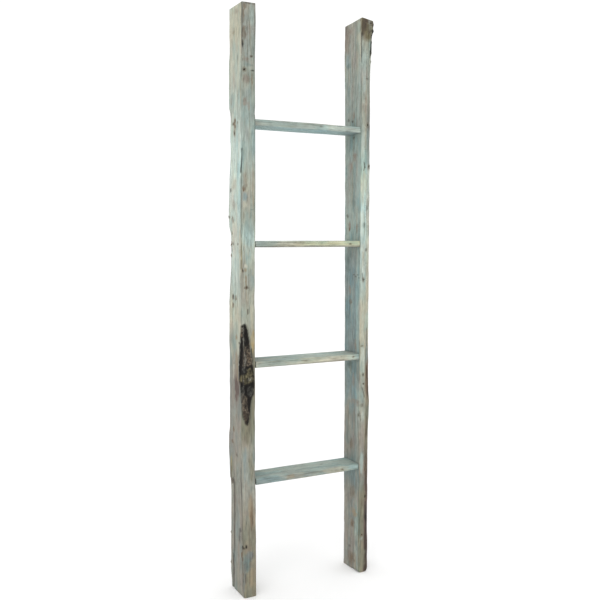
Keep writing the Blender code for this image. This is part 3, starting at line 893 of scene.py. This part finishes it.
# ---- the rungs ----
# Tints along each rung: its front from left to right, its top and its underside.
RUNG_TINTS = {
    "rung_1": (
        ((0, SMOKE), (40, SEA), (200, TEAL), (260, MINT), (300, TEAL), (375, TEAL)),
        ((0, TEAL), (375, TEAL)),
        ((0, POOL), (300, POOL), (375, SLATE)),
    ),
    "rung_2": (
        ((0, SMOKE), (60, SAGE), (110, STRAW), (190, BUTTER), (375, BUTTER)),
        ((0, AQUA), (100, AQUA), (190, MINT), (375, TEAL)),
        ((0, STONE), (375, DRIFTWOOD)),
    ),
    "rung_3": (
        ((0, SAGE), (60, SAGE), (190, STRAW), (310, STRAW), (375, MINT)),
        ((0, SMOKE), (120, TEAL), (250, MINT), (330, TEAL), (375, SMOKE)),
        ((0, SAGE), (375, SAGE)),
    ),
    "rung_4": (
        ((0, SLATE), (70, SLATE), (110, SMOKE), (230, SMOKE), (300, SAGE), (350, TEAL),
         (375, TEAL)),
        ((0, SEA), (120, TEAL), (320, TEAL), (375, SEA)),
        ((0, SMOKE), (375, SMOKE)),
    ),
}
RUNG_MARKS = {
    "rung_1": {
        Stain: ((19, 120, 2.5, 120, SMOKE, 0.7), (10, 290, 8, 40, AQUA, 0.6),
                (12, 372, 8, 9, TEAL, 0.7), (-40, 340, 60, 40, SLATE, 0.5)),
        Knot: ((12, 228, 1.8, 2.5, 0.5),),
    },
    "rung_2": {
        # the UMBER and STONE bands along the front's lower edge are painted shade under that edge
        Stain: ((0, 60, 4, 80, UMBER, 0.55), (1, 250, 5, 190, STONE, 0.8),
                (12, 150, 7, 20, TAN, 0.3), (10, 338, 3, 5, RUST, 0.75)),
        Knot: ((10, 338, 1.8, 1.6, 0.5),),
        Bump: ((0, 9, 5, 12, -2.2),),
    },
    "rung_3": {
        # the STONE band along the front's lower edge is painted shade under that edge
        Stain: ((0, 250, 5, 190, STONE, 0.6), (12, 175, 3, 18, RUST, 0.5),
                (9, 345, 9, 18, LIGHT_GREEN, 0.7), (11, 352, 3, 4, RUST, 0.8)),
        Knot: ((11, 175, 1.8, 3.0, 0.45), (60, 120, 3.5, 1.6, 0.5)),
    },
    "rung_4": {
        Stain: ((11, 122, 8, 16, TAN, 0.45), (11, 190, 8, 24, SLATE, 0.5),
                (11, 280, 8, 50, STRAW, 0.45), (9, 312, 3, 5, RUST, 0.75),
                (50, 200, 8, 60, BLUE_GREY, 0.4)),
        Knot: ((9, 312, 1.8, 1.6, 0.5), (70, 260, 3.0, 1.6, 0.45)),
    },
}
RUNG_CHECKS = (
    (RUNG_THICK + 30, 20, 210, 0.9, 0.4, 8), (-52, 140, 350, 0.9, 0.4, -6),
    (RUNG_THICK - 3, 60, 250, 0.8, 0.35, -4),
)
RUNG_EDGE = 1.9                         # radius of a rung's corners
EDGE_SWING, EDGE_WAVE = 0.5, 31         # how much and how slowly it varies
# painted shade on a rung near its ends, where it meets the rails
RUNG_END_SHADE, RUNG_END_SHADE_LINE = 0.15, 1.2


def make_rung(node, seed):
    low, high = box_mm(node)
    thick, depth = high[2] - low[2], high[1] - low[1]
    start, end = low[0] - JOINT_GAP, high[0] + JOINT_GAP
    length = end - start
    count = round(length / RUNG_STEP)
    along = np.linspace(END_EDGE, length - END_EDGE, count)
    rings = np.ones(count)
    edge = RUNG_EDGE + EDGE_SWING * np.sin(along / EDGE_WAVE + seed)
    section = board_section(thick, depth * rings, (edge, edge), (edge, edge), edge,
                            (plain_columns, plain_columns), (4, 4, 4))
    surface = Surface(section, along, (start, low[1], low[2]), axis=0, seed=seed)

    front, top, under = (eased(tints, surface.along) for tints in RUNG_TINTS[node])
    up_front, over_top = (ramp(surface.around, place - CORNER_BLEND, place + CORNER_BLEND)
                          for place in (0, thick))
    surface.tint = blend(blend(under, front, up_front), top, over_top)
    weather(surface, cool=0.5, warm=0.2, pale=0.4)
    grain(surface, np.zeros(surface.around.shape))
    corners = np.minimum(np.abs(surface.around), np.abs(surface.around - thick))
    surface.wear += 0.3 * (1 - ramp(corners, 1, 5))
    surface.relief += (surface.around > thick) * 0.7 * surface.noise(60, 120, 81)
    surface.add_marks({**RUNG_MARKS[node], Check: RUNG_CHECKS})
    # painted shade near the rung's ends, where they meet the rails
    ends = np.minimum(surface.along, length - surface.along)
    surface.darken(RUNG_END_SHADE * stroke(ends, RUNG_END_SHADE_LINE))
    add_board(node, surface, washed_wood(f"{node}_wood", 0))


# ---- materials ----
class Nodes:
    """Builds one material. Each call adds a node and gives back one of its outputs."""

    def __init__(self, name):
        self.material = bpy.data.materials.new(name)
        self.material.use_nodes = True
        self.tree = self.material.node_tree

    def finish(self, inputs):
        """Set the shader's inputs by name and give back the material."""
        shader = self.tree.nodes["Principled BSDF"]
        for socket, value in inputs.items():
            self.plug(shader.inputs[socket], value)
        return self.material

    def plug(self, socket, value):
        if isinstance(value, bpy.types.NodeSocket):
            self.tree.links.new(value, socket)
        else:
            socket.default_value = value

    def add(self, kind, inputs, output=0, **settings):
        node = self.tree.nodes.new(f"ShaderNode{kind}")
        for setting, value in settings.items():
            setattr(node, setting, value)
        for socket, value in inputs.items():
            self.plug(node.inputs[socket], value)
        return node.outputs[output]

    def attribute(self, name, output="Fac"):
        return self.add("Attribute", {}, output, attribute_name=name)

    def scaled(self, sizes):
        """Object coordinates in units of the given sizes, in metres."""
        place = self.add("TexCoord", {}, "Object")
        stretch = tuple(1 / size for size in sizes)
        return self.add("VectorMath", {0: place, 1: stretch}, operation="MULTIPLY")

    def noise(self, sizes, detail=3.0):
        return self.add("TexNoise", {"Vector": self.scaled(sizes), "Scale": 1.0,
                                     "Detail": detail, "Roughness": 0.6}, "Fac")

    def fit(self, value, low, high, new_low, new_high):
        return self.add("MapRange", {"Value": value, "From Min": low, "From Max": high,
                                     "To Min": new_low, "To Max": new_high})

    def times(self, first, second):
        return self.add("Math", {0: first, 1: second}, operation="MULTIPLY")

    def plus(self, first, second):
        return self.add("Math", {0: first, 1: second}, operation="ADD")

    def crack_lines(self, sizes, width):
        """1 along thin wandering lines and 0 away from them."""
        offset = self.plus(self.noise(sizes, detail=2.0), -0.5)
        return self.fit(self.add("Math", {0: offset}, operation="ABSOLUTE"), 0, width, 1, 0)

    def shade(self, colour, amount):
        """Multiply a colour by a number."""
        return self.add("VectorMath", {0: colour, "Scale": amount}, operation="SCALE")

    def mix(self, amount, first, second):
        return self.add("Mix", {0: amount, 6: first, 7: second}, 2, data_type="RGBA")


WORN = (0.84, 0.74, 0.65)               # the share of a tint left where the wash is worn
GRIME_AND_SHADE = (0.012, 0.01, 0.008, 1)


def grain_sizes(axis, cross, along):
    sizes = [cross * MM] * 3
    sizes[axis] = along * MM
    return sizes


def washed_wood(name, axis):
    """A worn wash over wood, on the tints, dark marks and painted shade, bark and wear held by
    the mesh.
    """
    nodes = Nodes(name)
    fine = nodes.noise(grain_sizes(axis, 1.3, 45), detail=4)
    streaks = nodes.noise(grain_sizes(axis, 3.5, 110), detail=5)
    blotches = nodes.noise(grain_sizes(axis, 9, 20), detail=5)
    crust = nodes.noise(grain_sizes(axis, 4, 5), detail=6)

    colour = nodes.shade(nodes.attribute("wash", "Color"), nodes.fit(fine, 0.3, 0.7, 0.8, 1.14))
    colour = nodes.shade(colour, nodes.fit(blotches, 0.3, 0.7, 0.86, 1.12))
    bare = nodes.times(nodes.fit(streaks, 0.54, 0.6, 0, 1.0), nodes.attribute("wear"))
    worn = nodes.add("VectorMath", {0: colour, 1: WORN}, operation="MULTIPLY")
    colour = nodes.mix(bare, colour, worn)
    cracks = nodes.crack_lines(grain_sizes(axis, 5, 190), 0.011)
    colour = nodes.shade(colour, nodes.fit(cracks, 0, 1, 1.0, 0.5))
    rings = nodes.add("TexWave", {"Vector": nodes.scaled((1, 1, 1)), "Scale": 40.0,
                                  "Distortion": 3.0, "Detail": 2.0, "Detail Scale": 1.5},
                      "Fac", wave_type="RINGS", rings_direction="XYZ"[axis])
    sawn = nodes.shade(colour, nodes.fit(rings, 0, 1, 0.72, 1.0))
    colour = nodes.mix(nodes.attribute("end"), colour, sawn)
    flakes = nodes.shade(colour, nodes.fit(crust, 0.36, 0.62, 0.3, 1.45))
    colour = nodes.mix(nodes.attribute("bark"), colour, flakes)
    # the dark layer holds dark marks, and painted shade at the joints, the screw holes and the
    # pocket's lip
    smudge_and_shade = nodes.times(nodes.attribute("dark"), nodes.fit(fine, 0.25, 0.75, 0.9, 1.15))
    colour = nodes.mix(smudge_and_shade, colour, GRIME_AND_SHADE)

    roughness = nodes.fit(nodes.plus(fine, blotches), 0.7, 1.3, 0.62, 0.88)
    rough_bark = nodes.times(crust, nodes.attribute("bark"))
    height = nodes.plus(nodes.plus(fine, nodes.times(cracks, -1.5)), nodes.times(rough_bark, 2.0))
    bump = nodes.add("Bump", {"Strength": 0.8, "Distance": 0.5 * MM, "Height": height})
    return nodes.finish({"Base Color": colour, "Roughness": roughness, "Normal": bump,
                         "Specular IOR Level": 0.25})


def washed_steel(name):
    """A screw's steel under the same wash, worn through and rusty in places."""
    nodes = Nodes(name)
    spots = nodes.noise((1.6 * MM,) * 3, detail=4)
    scratches = nodes.noise((0.7 * MM, 0.7 * MM, 5 * MM))
    wash = nodes.mix(nodes.fit(scratches, 0.3, 0.7, 0, 1), (*STONE, 1), (*SAGE, 1))
    colour = nodes.mix(nodes.fit(spots, 0.55, 0.66, 0, 0.8), wash, (*RUST, 1))
    bump = nodes.add("Bump", {"Strength": 0.6, "Distance": 0.2 * MM, "Height": spots})
    return nodes.finish({"Base Color": colour, "Roughness": nodes.fit(spots, 0.3, 0.7, 0.5, 0.8),
                         "Normal": bump, "Metallic": 0.15})


# ---- the scene ----
FLOOR_HALF = 30.0
FLOOR_PAINT = {"Base Color": (0.96, 0.96, 0.96, 1), "Roughness": 0.9}
SKY_STRENGTH = 1.07
SUN_STRENGTH, SUN_SPREAD = 0.6, 40      # the spread in degrees
SUN_AIM = (0.5, 0.6, -0.6)
CAMERA_PLACE = (-1.1965, -2.3, 1.139)
CAMERA_ANGLES = (4.63, 27.41, 0.07)     # down, to the right and rolled, in degrees
LENS, SENSOR = 48.03, 36.0


def make_stage():
    half = FLOOR_HALF
    mesh = bpy.data.meshes.new("floor")
    mesh.from_pydata([(-half, -half, 0), (half, -half, 0), (half, half, 0), (-half, half, 0)],
                     [], [(0, 1, 2, 3)])
    mesh.materials.append(Nodes("pale_floor").finish(FLOOR_PAINT))
    put("floor", mesh)


def make_lights():
    world = bpy.data.worlds.new("studio")
    world.use_nodes = True
    sky = world.node_tree.nodes["Background"].inputs
    sky["Color"].default_value = (1, 1, 1, 1)
    sky["Strength"].default_value = SKY_STRENGTH
    bpy.context.scene.world = world
    sun = bpy.data.lights.new("key", "SUN")
    sun.energy = SUN_STRENGTH
    sun.angle = math.radians(SUN_SPREAD)
    put("key", sun).rotation_euler = Vector(SUN_AIM).to_track_quat("-Z", "Y").to_euler()
    bpy.context.scene.view_settings.view_transform = "Standard"


def make_camera():
    down, turned, rolled = (math.radians(angle) for angle in CAMERA_ANGLES)
    lens = bpy.data.cameras.new("camera")
    lens.lens = LENS
    lens.sensor_width = SENSOR
    camera = put("camera", lens)
    camera.location = CAMERA_PLACE
    aim = Euler((math.pi / 2 - down, 0, -turned)).to_quaternion()
    camera.rotation_euler = (aim @ Quaternion((0, 0, 1), rolled)).to_euler()
    bpy.context.scene.camera = camera


make_left_rail()
make_right_rail()
for number, rung in enumerate(RUNGS):
    make_rung(rung, seed=307 + 40 * number)
steel = washed_steel("washed_steel")
for screw in SCREWS:
    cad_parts[screw].data.materials.clear()
    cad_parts[screw].data.materials.append(steel)
make_stage()
make_lights()
make_camera()
